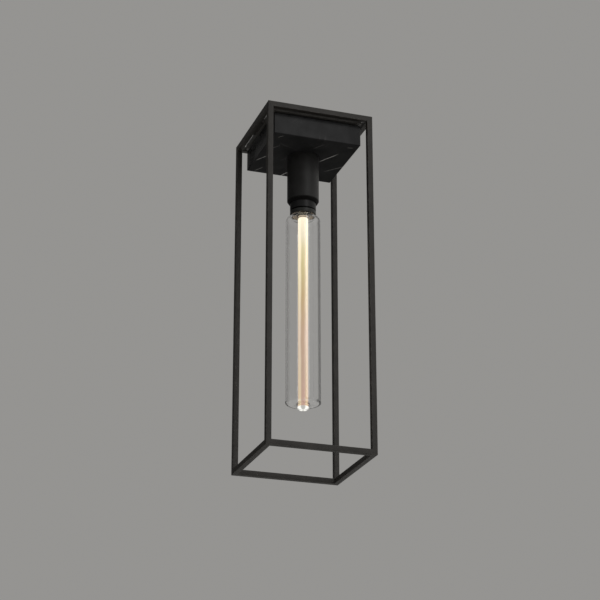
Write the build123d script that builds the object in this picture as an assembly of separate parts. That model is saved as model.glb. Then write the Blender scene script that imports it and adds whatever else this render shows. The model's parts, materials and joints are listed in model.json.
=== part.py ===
from build123d import *
import os

# Ceiling light in millimetres: +Z is up, the ceiling is the plane Z = 0 and the lamp hangs on the Z axis.

# Cage of square bars
cage_width = 156.6
cage_height = 505.5
bar_size = 7.6

# Mounting strap, welded across the top ring along X
strap_width = 44
strap_thickness = 5
slot_length = 14
slot_width = 5.5
slot_inset = 11

# Backing plate with an upturned rim, gasket and stone block, stacked under the strap
ring_gap = 5.7
plate_overhang = 1.5
plate_thickness = 3
plate_rim = 1.5
plate_rim_gap = 0.5
gasket_inset = 6
gasket_thickness = 2.5
stone_thickness = 32
stone_edge = 0.8
pocket_end_wall = 8
pocket_side_wall = 16
pocket_depth = 14
pin_radius = 2.5
pin_in_strap = 4
pin_in_stone = 10

# Centre bolt with its washer and nut
bolt_radius = 3
bolt_head_radius = 6
bolt_head_height = 2.5
bolt_end = 2
washer_thickness = 1.2
washer_gap = 0.4
nut_margin = 0.25
nut_height = 5

# Terminal block and wires
terminal_pitch = 10.5
terminal_depth = 15
terminal_height = 13
terminal_chamfer = 1.5
wire_run = 7
wire_radius = 1.1
wire_bend = 6
wire_past_clamp = 1.5
wire_hole_slack = 0.9
tube_radius = 3.2
tube_slack = 0.5
tube_recess = 1
clamp_radius = 1.4
clamp_inset = 3.5
earth_radius = 1.5
earth_head_radius = 2.7
earth_head_height = 1.8
earth_in_strap = 3.5

# Lampholder cup
cup_wall = 3.8
cup_top = 2.5
rim_land = 0.55
rim_taper = 5
rim_drop = 7

# Lampholder insert
wiring_room = 13.4
standoff_wall = 0.8
spigot_radius = 1.5
spigot_gap = 0.5
insert_screw_radius = 1.5
insert_screw_head = 2.6
insert_screw_head_height = 2
insert_screw_grip = 8
insert_screw_end = 2
ceramic_wall = 4.45
ceramic_floor = 12
ceramic_chamfer = 1
cavity_height = 9
cavity_margin = 0.3
shell_length = 21.5
shell_wall = 0.75
shell_flange = 0.8
shell_flange_width = 2.4
shell_recess = 0.5
holder_block = 7
holder_foot = 1.5
holder_wire_depth = 5
holder_screw_radius = 1.25
holder_screw_head = 2
holder_screw_head_height = 1.6
live_shank_radius = 1.25
neutral_shank_radius = 0.6
rivet_head_radius = 1.6
rivet_head_height = 0.6

# Sprung contact leaf
leaf_thickness = 0.5
leaf_width = 6
leaf_base = 4
leaf_edge = 2.6
leaf_tip_reach = 2.5
leaf_tip_rise = 0.95
leaf_play = 0.45

# Screw thread of the lamp, right handed
thread_pitch = 3.63
thread_root = 12.25
thread_ridge = 0.9
thread_foot = 2.5
thread_head = 2.7
ridge_ease = 0.05

# Lamp cap, insulator and contact
cap_wall = 0.85
cap_roof = 0.8
contact_radius = 4.5
contact_height = 1.5
contact_edge = 0.5
contact_below_floor = 4.5
insulator_gap = 1
insulator_top = 6

# Lamp collar and what it houses
collar_length = 24.3
collar_top = 2.5
collar_wall = 1.65
collar_ledge = 2.05
collar_edge = 0.6
groove_from_foot = 6.6
groove_width = 1.2
groove_depth = 0.8
cap_spigot_height = 6.5
cap_spigot_wall = 1.5
sink_thickness = 4
board_thickness = 1.6
chip_radius = 5.5
chip_height = 1
driver_side_gap = 1.3
driver_headroom = 1.9
capacitor_radius = 3.4
capacitor_length = 12
capacitor_edge = 0.5
holder_rim = 1.5
holder_disc = 1
holder_height = 6.2
holder_boss = 8.2
holder_boss_length = 9.8

# Glass tube
glass_radius = 24.75
glass_length = 281.2
glass_wall = 1.2
glass_shoulder = 4
glass_foot_edge = 2.5
glass_below_collar = 2.5

# Light guide rod and the grommet round its tip
guide_radius = 7.2
guide_neck = 6.6
guide_neck_drop = 1.5
guide_shoulder = 1
guide_flange_lip = 1.8
guide_flange_height = 1.5
guide_top_gap = 0.4
guide_groove = 0.5
guide_out = 3.9
tip_height = 4.4
tip_head = 8.2
tip_flare = 0.8
tip_land = 1.4
tip_radius = 5.8
grommet_wall = 0.8
grommet_lip = 0.8
grommet_lip_height = 0.6

# Clearances
slip = 0.1
free_fit = 0.3
bolt_fit = 0.4
thread_fit = 0.3
collar_fit = 0.35
seat_gap = 0.5
cap_gap = 0.5

# How far a cutting tool runs past a face, and how near an edge lies to its level
past = 1
edge_slack = 0.01

# Widths of the stack that fills the top ring
half_width = cage_width / 2
inner_half = half_width - bar_size
stone_size = 2 * (inner_half - ring_gap)
plate_size = stone_size + 2 * plate_overhang
gasket_size = stone_size - 2 * gasket_inset
pocket_length = gasket_size - 2 * pocket_end_wall
pocket_width = gasket_size - 2 * pocket_side_wall
pin_offset = (pocket_length + gasket_size) / 4
slot_offset = pocket_length / 2 - slot_inset

# Radii that follow from the screw thread outwards and inwards
shell_bore = thread_root + thread_ridge + thread_fit
shell_radius = shell_bore + shell_wall
shell_ridge = thread_ridge - ridge_ease
ceramic_radius = shell_radius + slip + ceramic_wall
cup_bore = ceramic_radius + free_fit
cup_radius = cup_bore + cup_wall
cup_chamfer = cup_wall - rim_land
collar_radius = cup_bore - collar_fit
cavity_radius = shell_radius - shell_flange_width
screw_recess_radius = insert_screw_head + 2 * slip
standoff_offset = cavity_radius - screw_recess_radius - cavity_margin
standoff_radius = insert_screw_radius + slip + standoff_wall
washer_radius = standoff_offset - standoff_radius - washer_gap
nut_corner = washer_radius - nut_margin
live_shank_x = leaf_edge - cavity_radius
neutral_shank_x = (cavity_radius + shell_radius) / 2
insulator_foot = cavity_radius - insulator_gap
cap_bore = thread_root - cap_wall
cap_spigot_radius = cap_bore - slip
cap_spigot_bore = cap_spigot_radius - cap_spigot_wall
driver_width = 2 * (cap_spigot_bore - driver_side_gap)
collar_neck_bore = collar_radius - collar_wall
collar_cavity = collar_neck_bore - collar_ledge
glass_neck = collar_neck_bore - free_fit
guide_flange = guide_neck + guide_flange_lip
grommet_bore = guide_radius + slip
grommet_waist = grommet_bore + grommet_wall
glass_hole = grommet_waist + slip
tube_bore = wire_radius + tube_slack
wire_hole_radius = wire_radius + wire_hole_slack

# Levels of the fixed stack, from the ceiling down
strap_z = -strap_thickness
plate_z = strap_z - plate_thickness
gasket_z = plate_z - gasket_thickness
stone_z = gasket_z - stone_thickness
pocket_z = gasket_z - pocket_depth
cup_roof_z = stone_z - cup_top
washer_z = cup_roof_z - washer_thickness
nut_z = washer_z - nut_height
bolt_z = nut_z - bolt_end
ceramic_top_z = bolt_z - wiring_room
floor_z = ceramic_top_z - ceramic_floor
flange_top_z = floor_z - cavity_height
flange_z = flange_top_z - shell_flange
shell_z = flange_top_z - shell_length
ceramic_z = shell_z - shell_recess
rim_z = ceramic_z - rim_drop
terminal_z = strap_z - terminal_height
pole_z = strap_z - terminal_height / 2
terminal_back = wire_run + terminal_depth
screw_seat_z = floor_z + insert_screw_head_height + 2 * slip

# Levels of the lamp
contact_z = floor_z - contact_below_floor
insulator_z = contact_z - contact_height
cap_z = flange_z - cap_gap
collar_top_z = ceramic_z - seat_gap
collar_z = collar_top_z - collar_length
thread_z = collar_top_z + thread_foot
thread_length = cap_z - thread_head - thread_z
sink_top_z = collar_top_z - collar_top
board_top_z = sink_top_z - sink_thickness
chip_top_z = board_top_z - board_thickness
chip_z = chip_top_z - chip_height
ledge_z = chip_top_z - holder_height
holder_z = ledge_z - holder_disc
glass_top_z = collar_z - glass_below_collar
glass_z = glass_top_z - glass_length
neck_foot_z = glass_top_z - guide_neck_drop
guide_end_z = glass_z - guide_out
tip_z = guide_end_z - tip_height

pieces = {}


def rod(radius, low, high, x=0, y=0):
    upright = Cylinder(radius, high - low, align=(Align.CENTER, Align.CENTER, Align.MIN))
    return Pos(x, y, low) * upright


def rod_x(radius, start, end, y, z):
    upright = Cylinder(radius, end - start, align=(Align.CENTER, Align.CENTER, Align.MIN))
    return Pos(start, y, z) * Rot(0, 90, 0) * upright


def rod_y(radius, start, end, x, z):
    upright = Cylinder(radius, end - start, align=(Align.CENTER, Align.CENTER, Align.MIN))
    return Pos(x, start, z) * Rot(-90, 0, 0) * upright


def cone(low_radius, high_radius, low, high):
    upright = Cone(low_radius, high_radius, high - low, align=(Align.CENTER, Align.CENTER, Align.MIN))
    return Pos(0, 0, low) * upright


def slab(length, width, low, high, x=0, y=0):
    return Pos(x, y, (low + high) / 2) * Box(length, width, high - low)


def ring(outer, inner, low, high):
    return rod(outer, low, high) - rod(inner, low - past, high + past)


def helix_ridge(path_radius, ridge_radius, low, length):
    path = Pos(0, 0, low) * Helix(pitch=thread_pitch, height=length, radius=path_radius)
    section = Plane(origin=path @ 0, z_dir=path % 0) * Circle(ridge_radius)
    return sweep(section, path=path, is_frenet=True)


def group(solids):
    return Part() + solids


def edges_at(shape, z):
    return shape.edges().filter_by_position(Axis.Z, z - edge_slack, z + edge_slack)


# Cage bars: full-height posts with ring bars butted between them
def build_cage():
    post_at = half_width - bar_size / 2
    bar_length = cage_width - 2 * bar_size
    rows = {"front": -post_at, "rear": post_at}
    sides = {"left": -post_at, "right": post_at}
    levels = {"top": (-bar_size, 0), "bottom": (-cage_height, bar_size - cage_height)}
    for row, y in rows.items():
        for side, x in sides.items():
            pieces[f"post_{row}_{side}"] = slab(bar_size, bar_size, -cage_height, 0, x, y)
    for level, (low, high) in levels.items():
        for row, y in rows.items():
            pieces[f"{level}_bar_{row}"] = slab(bar_length, bar_size, low, high, 0, y)
        for side, x in sides.items():
            pieces[f"{level}_bar_{side}"] = slab(bar_size, bar_length, low, high, x, 0)


# Strap with slots for the ceiling screws and a sunk seat for the head of the centre bolt
def build_strap():
    strap = slab(2 * inner_half, strap_width, strap_z, 0)
    slot_straight = slot_length - slot_width
    for side in (-1, 1):
        slot_at = side * slot_offset
        strap -= slab(slot_straight, slot_width, strap_z - past, past, slot_at)
        for end in (-1, 1):
            strap -= rod(slot_width / 2, strap_z - past, past, slot_at + end * slot_straight / 2)
        strap -= rod(pin_radius + slip, strap_z - past, strap_z + pin_in_strap, side * pin_offset)
    strap -= rod(bolt_radius + bolt_fit, strap_z - past, past)
    strap -= rod(bolt_head_radius + free_fit, -bolt_head_height, past)
    strap -= rod(earth_radius + slip, strap_z - past, strap_z + earth_in_strap, 0, wire_run + clamp_inset)
    pieces["mounting_strap"] = strap


# Plate, gasket and stone share the wiring pocket and the pin holes. The strap passes through the plate's rim.
def build_base():
    pin_hole = pin_radius + slip
    plate = slab(plate_size, plate_size, plate_z, -plate_rim_gap)
    plate -= slab(plate_size - 2 * plate_rim, plate_size - 2 * plate_rim, strap_z, past)
    plate -= slab(2 * inner_half, strap_width + 2 * free_fit, strap_z, past)
    plate -= slab(pocket_length, pocket_width, plate_z - past, strap_z + past)
    gasket = slab(gasket_size, gasket_size, gasket_z, plate_z)
    gasket -= slab(pocket_length, pocket_width, gasket_z - past, plate_z + past)
    stone = slab(stone_size, stone_size, stone_z, gasket_z)
    stone = chamfer(stone.edges(), stone_edge)
    stone -= slab(pocket_length, pocket_width, pocket_z, gasket_z + past)
    stone -= rod(bolt_radius + bolt_fit, stone_z - past, gasket_z)
    for side in (-1, 1):
        plate -= rod(pin_hole, plate_z - past, strap_z + past, side * pin_offset)
        gasket -= rod(pin_hole, gasket_z - past, plate_z + past, side * pin_offset)
        stone -= rod(pin_hole, gasket_z - pin_in_stone, gasket_z + past, side * pin_offset)
        stone -= rod(wire_hole_radius, stone_z - past, gasket_z, side * terminal_pitch)
    pins = [rod(pin_radius, gasket_z - pin_in_stone, strap_z + pin_in_strap, side * pin_offset)
            for side in (-1, 1)]
    pieces["backing_plate"] = plate
    pieces["gasket"] = gasket
    pieces["stone_block"] = stone
    pieces["locating_pins"] = group(pins)


# Bolt that hangs in the strap, with the washer and nut that clamp the cup and the stone
def build_centre_bolt():
    head = rod(bolt_head_radius, -bolt_head_height, 0)
    pieces["centre_bolt"] = head + rod(bolt_radius, bolt_z, -bolt_head_height)
    pieces["cup_washer"] = ring(washer_radius, bolt_radius + slip, washer_z, cup_roof_z)
    hexagon = RegularPolygon(nut_corner, 6)
    nut = Pos(0, 0, nut_z) * extrude(hexagon, nut_height)
    pieces["cup_nut"] = nut - rod(bolt_radius + slip, nut_z - past, washer_z + past)


# Three poles: live, earth and neutral. The earth screw runs through its pole into the strap.
def build_terminal():
    front = wire_run
    near_screw = front + clamp_inset
    far_screw = terminal_back - clamp_inset
    poles = (-terminal_pitch, 0, terminal_pitch)
    middle_y = (front + terminal_back) / 2
    length = len(poles) * terminal_pitch
    housing = slab(length, terminal_depth, terminal_z, strap_z, 0, middle_y)
    tubes = []
    screws = []
    for x in poles:
        housing -= rod_y(tube_radius + slip, front - past, terminal_back + past, x, pole_z)
        tube = rod_y(tube_radius, front + tube_recess, terminal_back - tube_recess, x, pole_z)
        tube -= rod_y(tube_bore, front, terminal_back, x, pole_z)
        for y in (near_screw, far_screw):
            is_earth = x == 0 and y == near_screw
            top = strap_z + past if is_earth else pole_z
            radius = earth_radius if is_earth else clamp_radius
            hole = rod(radius + slip, terminal_z - past, top, x, y)
            housing -= hole
            tube -= hole
            if not is_earth:
                screws.append(rod(clamp_radius, terminal_z, pole_z - wire_radius - slip, x, y))
        tubes.append(tube)
    earth_head_top = terminal_z + earth_head_height
    housing -= rod(earth_head_radius + slip, terminal_z - past, earth_head_top, 0, near_screw)
    earth = rod(earth_head_radius, terminal_z, earth_head_top, 0, near_screw)
    earth += rod(earth_radius, earth_head_top, strap_z + earth_in_strap, 0, near_screw)
    housing = chamfer(housing.edges().filter_by(Axis.Z).group_by(Axis.Y)[-1], terminal_chamfer)
    pieces["terminal_block"] = housing
    pieces["terminal_tubes"] = group(tubes)
    pieces["terminal_screws"] = group(screws)
    pieces["earth_screw"] = earth


# Each wire leaves its pole along Y, turns down and ends in its terminal on the lampholder insert
def build_wires():
    wire_start = wire_run + clamp_inset + clamp_radius + wire_past_clamp
    wire_end = ceramic_top_z + holder_block - holder_wire_depth
    for name, x in (("live_wire", -terminal_pitch), ("neutral_wire", terminal_pitch)):
        route = [(x, wire_start, pole_z), (x, 0, pole_z), (x, 0, wire_end)]
        path = FilletPolyline(*route, radius=wire_bend)
        section = Plane(origin=path @ 0, z_dir=path % 0) * Circle(wire_radius)
        pieces[name] = sweep(section, path=path)


# Turned cup: flat roof against the stone, plain bore, tapered lower rim
def build_cup():
    cup = rod(cup_radius, rim_z + rim_taper, stone_z)
    cup += cone(cup_radius - cup_chamfer, cup_radius, rim_z, rim_z + rim_taper)
    cup -= rod(cup_bore, rim_z - past, cup_roof_z)
    cup -= rod(bolt_radius + bolt_fit, cup_roof_z - past, stone_z + past)
    for side in (-1, 1):
        cup -= rod(wire_hole_radius, cup_roof_z - past, stone_z + past, side * terminal_pitch)
        cup -= rod(spigot_radius + slip, cup_roof_z - past, stone_z + past, 0, side * standoff_offset)
    pieces["lamp_cup"] = cup


# Standoffs hang from the cup's roof and the ceramic body is screwed up against them
def build_insert_fixings():
    standoffs = []
    screws = []
    for side in (-1, 1):
        y = side * standoff_offset
        standoff = rod(standoff_radius, ceramic_top_z, cup_roof_z, 0, y)
        standoff += rod(spigot_radius, cup_roof_z, stone_z - spigot_gap, 0, y)
        thread_end = ceramic_top_z + insert_screw_grip
        standoff -= rod(insert_screw_radius + slip, ceramic_top_z - past, thread_end + insert_screw_end, 0, y)
        standoffs.append(standoff)
        head = rod(insert_screw_head, screw_seat_z - insert_screw_head_height, screw_seat_z, 0, y)
        screws.append(head + rod(insert_screw_radius, screw_seat_z, thread_end, 0, y))
    pieces["socket_standoffs"] = group(standoffs)
    pieces["socket_screws"] = group(screws)


# Ceramic body with a bore for the threaded shell and a smaller cavity for the contact leaf
def build_ceramic():
    body = rod(ceramic_radius, ceramic_z, ceramic_top_z)
    body = chamfer(edges_at(body, ceramic_z), ceramic_chamfer)
    body -= rod(shell_radius + slip, ceramic_z - past, flange_top_z)
    body -= rod(cavity_radius, flange_top_z - past, floor_z)
    for side in (-1, 1):
        y = side * standoff_offset
        body -= rod(insert_screw_radius + slip, floor_z - past, ceramic_top_z + past, 0, y)
        body -= rod(screw_recess_radius, floor_z - past, screw_seat_z, 0, y)
    body -= rod(live_shank_radius + slip, floor_z - past, ceramic_top_z + past, live_shank_x)
    body -= rod(neutral_shank_radius + slip, flange_top_z - past, ceramic_top_z + past, neutral_shank_x)
    pieces["socket_body"] = body


# Brass shell: flange against the ceramic, ridge that runs half a pitch from the lamp's own
def build_shell():
    shell = ring(shell_radius, shell_bore, shell_z, flange_z)
    shell += ring(shell_radius, cavity_radius, flange_z, flange_top_z)
    shell -= rod(neutral_shank_radius + slip, flange_z - past, flange_top_z + past, neutral_shank_x)
    half_pitch = thread_pitch / 2
    shell += helix_ridge(shell_bore, shell_ridge, thread_z + half_pitch, thread_length - half_pitch)
    pieces["socket_shell"] = shell


# Terminals on top of the ceramic, each with a shank through it and a side screw on its wire
def build_holder_terminals():
    block_top = ceramic_top_z + holder_block
    wire_foot = block_top - holder_wire_depth
    screw_z = (block_top + wire_foot) / 2
    terminals = {}
    screws = []
    ends = (("live_terminal", -1, live_shank_x), ("neutral_terminal", 1, neutral_shank_x))
    for name, side, shank_x in ends:
        x = side * terminal_pitch
        terminal = slab(holder_block, holder_block, ceramic_top_z, block_top, x)
        foot_ends = sorted((x, shank_x - side * rivet_head_radius, shank_x + side * rivet_head_radius))
        foot_middle = (foot_ends[0] + foot_ends[-1]) / 2
        foot_length = foot_ends[-1] - foot_ends[0]
        foot_top = ceramic_top_z + holder_foot
        terminal += slab(foot_length, 2 * rivet_head_radius, ceramic_top_z, foot_top, foot_middle)
        terminal -= rod(wire_radius + slip, wire_foot - slip, block_top + past, x)
        outer = terminal_pitch + holder_block / 2
        tip = terminal_pitch + wire_radius + slip
        inward = (tip - slip, outer + past) if side > 0 else (-outer - past, slip - tip)
        shank = (tip, outer) if side > 0 else (-outer, -tip)
        head_end = outer + holder_screw_head_height
        head = (outer, head_end) if side > 0 else (-head_end, -outer)
        terminal -= rod_x(holder_screw_radius + slip, *inward, 0, screw_z)
        screw = rod_x(holder_screw_radius, *shank, 0, screw_z)
        screws.append(screw + rod_x(holder_screw_head, *head, 0, screw_z))
        terminals[name] = terminal
    rivet_top = floor_z - leaf_thickness - leaf_play - slip
    live_shank = rod(live_shank_radius, rivet_top, ceramic_top_z, live_shank_x)
    live_head = rod(rivet_head_radius, rivet_top - rivet_head_height, rivet_top, live_shank_x)
    neutral_shank = rod(neutral_shank_radius, flange_z, ceramic_top_z, neutral_shank_x)
    pieces["live_terminal"] = terminals["live_terminal"] + live_shank + live_head
    pieces["neutral_terminal"] = terminals["neutral_terminal"] + neutral_shank
    pieces["clamp_screws"] = group(screws)


# Leaf: flat base round the live shank, then a slope down to the lamp's contact and a short upturn
def build_leaf():
    half = leaf_thickness / 2
    base_z = floor_z - slip / 2 - half
    low_z = contact_z + slip + half
    base_start = live_shank_x - leaf_base / 2
    base_end = live_shank_x + leaf_base / 2
    middle = [(base_start, base_z), (base_end, base_z), (0, low_z)]
    middle.append((leaf_tip_reach, low_z + leaf_tip_rise))
    strip = [(x, z + half) for x, z in middle]
    strip += [(x, z - half) for x, z in reversed(middle)]
    face = Plane.XZ * make_face(Polyline(*strip, close=True))
    leaf = extrude(face, leaf_width / 2, both=True)
    hole = rod(live_shank_radius + free_fit, base_z - past, base_z + past, live_shank_x)
    pieces["contact_leaf"] = leaf - hole


# Contact, insulator and threaded cap at the top of the lamp
def build_lamp_cap():
    contact = rod(contact_radius, insulator_z, contact_z)
    pieces["lamp_contact"] = fillet(edges_at(contact, contact_z), contact_edge)
    pieces["lamp_insulator"] = cone(insulator_foot, insulator_top, cap_z, insulator_z)
    cap = rod(thread_root, collar_top_z, cap_z)
    cap += helix_ridge(thread_root, thread_ridge, thread_z, thread_length)
    pieces["lamp_cap"] = cap - rod(cap_bore, collar_top_z - past, cap_z - cap_roof)


# Collar: cap spigot on top, cavity for the light source, bore for the glass neck at the foot
def build_collar():
    spigot_top = collar_top_z + cap_spigot_height
    collar = rod(collar_radius, collar_z, collar_top_z)
    collar = chamfer(edges_at(collar, collar_z) + edges_at(collar, collar_top_z), collar_edge)
    collar += rod(cap_spigot_radius, collar_top_z, spigot_top)
    collar -= rod(cap_spigot_bore, sink_top_z - past, spigot_top + past)
    collar -= rod(collar_cavity, ledge_z - past, sink_top_z)
    collar -= rod(collar_neck_bore, collar_z - past, ledge_z)
    groove_low = collar_z + groove_from_foot - groove_width / 2
    collar -= ring(collar_radius + past, collar_radius - groove_depth, groove_low, groove_low + groove_width)
    pieces["lamp_collar"] = collar


# Light source: heat sink disc, board, chip, and the driver board that stands in the cap
def build_light_source():
    inside = collar_cavity - slip
    pieces["heat_sink"] = rod(inside, board_top_z, sink_top_z)
    pieces["source_board"] = rod(inside, chip_top_z, board_top_z)
    pieces["source_chip"] = rod(chip_radius, chip_z, chip_top_z)
    driver_top = cap_z - cap_roof - driver_headroom
    pieces["driver_board"] = slab(driver_width, board_thickness, sink_top_z, driver_top)
    can_y = board_thickness / 2 + capacitor_radius
    can = rod(capacitor_radius, sink_top_z, sink_top_z + capacitor_length, 0, can_y)
    pieces["driver_capacitor"] = fillet(edges_at(can, sink_top_z + capacitor_length), capacitor_edge)
    holder = rod(collar_neck_bore - slip, holder_z, ledge_z)
    holder += ring(inside, inside - holder_rim, ledge_z, chip_top_z)
    boss_z = holder_z - holder_boss_length
    holder += rod(holder_boss, boss_z, holder_z)
    pieces["guide_holder"] = holder - rod(guide_neck + slip, boss_z - past, ledge_z + past)


# Glass: rounded shoulder under the neck, straight tube, flat foot with a hole for the rod
def build_glass():
    outer = rod(glass_radius, glass_z, glass_top_z)
    outer = fillet(edges_at(outer, glass_top_z), glass_shoulder)
    outer = fillet(edges_at(outer, glass_z), glass_foot_edge)
    outer += rod(glass_neck, glass_top_z - glass_wall, holder_z - slip)
    inner_low = glass_z + glass_wall
    inner_high = glass_top_z - glass_wall
    inner = rod(glass_radius - glass_wall, inner_low, inner_high)
    inner = fillet(edges_at(inner, inner_high), glass_shoulder - glass_wall)
    inner = fillet(edges_at(inner, inner_low), glass_foot_edge - glass_wall)
    inner += rod(glass_neck - glass_wall, inner_high - glass_wall, holder_z + past)
    pieces["glass_tube"] = outer - inner - rod(glass_hole, glass_z - past, inner_low + past)


# Light guide: hangs by its flange in the holder, and its tapered head stands out below the glass
def build_guide():
    shoulder_z = neck_foot_z - guide_shoulder
    guide = rod(guide_neck, neck_foot_z, chip_z - guide_top_gap)
    guide += rod(guide_flange, ledge_z, ledge_z + guide_flange_height)
    guide += cone(guide_radius, guide_neck, shoulder_z, neck_foot_z)
    guide += rod(guide_radius, guide_end_z, shoulder_z)
    head_z = guide_end_z - tip_flare
    land_z = head_z - tip_land
    guide += cone(tip_head, guide_radius, head_z, guide_end_z)
    guide += rod(tip_head, land_z, head_z)
    guide += cone(tip_radius, tip_head, tip_z, land_z)
    groove_z = neck_foot_z + guide_groove
    guide -= ring(guide_flange, guide_neck - guide_groove, groove_z, groove_z + 2 * guide_groove)
    pieces["light_guide"] = guide
    lip_radius = glass_hole + grommet_lip
    inner_low = glass_z + glass_wall
    grommet = ring(grommet_waist, grommet_bore, glass_z, inner_low)
    grommet += ring(lip_radius, grommet_bore, inner_low, inner_low + grommet_lip_height)
    grommet += ring(lip_radius, grommet_bore, glass_z - grommet_lip_height, glass_z)
    pieces["tip_grommet"] = grommet


build_cage()
build_strap()
build_base()
build_centre_bolt()
build_terminal()
build_wires()
build_cup()
build_insert_fixings()
build_ceramic()
build_shell()
build_holder_terminals()
build_leaf()
build_lamp_cap()
build_collar()
build_light_source()
build_glass()
build_guide()

os.makedirs("parts", exist_ok=True)
for name, piece in pieces.items():
    export_step(piece, f"parts/{name}.step")
    print(name, round(piece.volume, 1))
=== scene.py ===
import json
import math
import bmesh
import bpy
from mathutils import Matrix, Vector


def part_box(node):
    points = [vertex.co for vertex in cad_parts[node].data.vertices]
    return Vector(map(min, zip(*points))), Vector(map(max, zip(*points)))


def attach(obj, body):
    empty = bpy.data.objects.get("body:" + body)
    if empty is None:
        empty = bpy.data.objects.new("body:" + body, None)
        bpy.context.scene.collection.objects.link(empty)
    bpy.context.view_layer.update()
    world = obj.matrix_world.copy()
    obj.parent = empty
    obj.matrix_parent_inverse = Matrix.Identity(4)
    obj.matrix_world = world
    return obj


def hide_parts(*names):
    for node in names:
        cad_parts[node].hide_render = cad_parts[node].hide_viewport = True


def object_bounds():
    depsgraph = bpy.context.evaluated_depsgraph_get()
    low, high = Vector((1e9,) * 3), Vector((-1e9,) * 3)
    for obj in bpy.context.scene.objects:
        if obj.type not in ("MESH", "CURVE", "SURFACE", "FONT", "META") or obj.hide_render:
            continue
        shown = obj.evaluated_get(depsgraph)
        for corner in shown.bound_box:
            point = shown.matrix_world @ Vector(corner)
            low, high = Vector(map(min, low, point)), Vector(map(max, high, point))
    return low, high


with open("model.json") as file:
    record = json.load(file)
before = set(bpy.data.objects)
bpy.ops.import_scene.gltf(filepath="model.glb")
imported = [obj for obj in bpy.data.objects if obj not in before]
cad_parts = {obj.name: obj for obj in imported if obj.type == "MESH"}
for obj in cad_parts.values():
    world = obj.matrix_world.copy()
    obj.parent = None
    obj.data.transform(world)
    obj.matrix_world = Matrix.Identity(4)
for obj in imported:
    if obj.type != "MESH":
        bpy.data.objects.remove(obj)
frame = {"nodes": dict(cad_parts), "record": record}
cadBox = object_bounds()
cadNodes = frame["nodes"]
scene = bpy.context.scene
mm = 0.001
midNoise = (0.3, 0.7)  # where most values of a noise lie
print("frame:", len(cadNodes), "nodes")


# Node helpers
def feed(node, socket, value):
    if isinstance(value, bpy.types.NodeSocket):
        node.id_data.links.new(value, node.inputs[socket])
    else:
        node.inputs[socket].default_value = value


def addNode(tree, kind, wires=None, **props):
    node = tree.nodes.new(kind)
    for prop, value in props.items():
        setattr(node, prop, value)
    for socket, value in (wires or {}).items():
        feed(node, socket, value)
    return node


def sums(tree, operation, first, second=0.0, third=0.0):
    wires = {0: first, 1: second, 2: third}
    return addNode(tree, "ShaderNodeMath", wires, operation=operation).outputs[0]


def vectors(tree, operation, first, second):
    node = addNode(tree, "ShaderNodeVectorMath", {0: first, 1: second}, operation=operation)
    return node.outputs["Value" if operation == "DOT_PRODUCT" else "Vector"]


def axes(tree, coords):
    return addNode(tree, "ShaderNodeSeparateXYZ", {"Vector": coords}).outputs


def point(tree, x=0.0, y=0.0, z=0.0):
    return addNode(tree, "ShaderNodeCombineXYZ", {"X": x, "Y": y, "Z": z}).outputs[0]


def stretched(tree, coords, scale, turn=(0.0, 0.0, 0.0)):
    wires = {"Vector": coords, "Rotation": turn, "Scale": scale}
    return addNode(tree, "ShaderNodeMapping", wires).outputs[0]


def noise(tree, coords, scale, detail=2.0, output="Fac"):
    wires = {"Vector": coords, "Scale": scale, "Detail": detail}
    return addNode(tree, "ShaderNodeTexNoise", wires).outputs[output]


def span(tree, value, fromRange, toRange, smooth=False):
    wires = {"Value": value, "From Min": fromRange[0], "From Max": fromRange[1]}
    wires |= {"To Min": toRange[0], "To Max": toRange[1]}
    kind = "SMOOTHSTEP" if smooth else "LINEAR"
    return addNode(tree, "ShaderNodeMapRange", wires, interpolation_type=kind).outputs["Result"]


def ramp(tree, factor, stops):
    node = addNode(tree, "ShaderNodeValToRGB", {"Fac": factor})
    elements = node.color_ramp.elements
    elements[0].position, elements[0].color = stops[0][0], (*stops[0][1], 1)
    elements[1].position, elements[1].color = stops[-1][0], (*stops[-1][1], 1)
    for share, colour in stops[1:-1]:
        elements.new(share).color = (*colour, 1)
    return node.outputs["Color"]


def twoTone(tree, factor, limits, dark, light):
    return ramp(tree, factor, [(limits[0], dark), (limits[1], light)])


def blendColours(tree, factor, first, second, blend="MIX"):
    node = addNode(tree, "ShaderNodeMix", {0: factor}, data_type="RGBA", blend_type=blend)
    for index, value in ((6, first), (7, second)):  # a colour mix keeps its two colours in these sockets
        feed(node, index, value if isinstance(value, bpy.types.NodeSocket) else (*value, 1))
    return node.outputs[2]


def startFinish(name, values):
    material = bpy.data.materials.new(name)
    material.use_nodes = True
    tree = material.node_tree
    surface = tree.nodes["Principled BSDF"]
    for socket, value in values.items():
        feed(surface, socket, value)
    coords = addNode(tree, "ShaderNodeTexCoord").outputs["Object"]
    return material, tree, surface, coords


def setBump(tree, surface, height, strength, distance):
    wires = {"Height": height, "Strength": strength, "Distance": distance}
    feed(surface, "Normal", addNode(tree, "ShaderNodeBump", wires).outputs["Normal"])


# Painted metal: fine orange peel, uneven sheen, rubbed edges where the mesh marks them
paintWork = {"patchScale": 55.0, "patchStops": (0.32, 0.7), "scuffScale": 160.0, "scuffs": (0.45, 0.62),
             "sheenScale": 420.0, "peelHeight": 0.3 * mm}


def paintSheen(tree, coords, roughness):
    return span(tree, noise(tree, coords, paintWork["sheenScale"], detail=3.0), midNoise, roughness)


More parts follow.
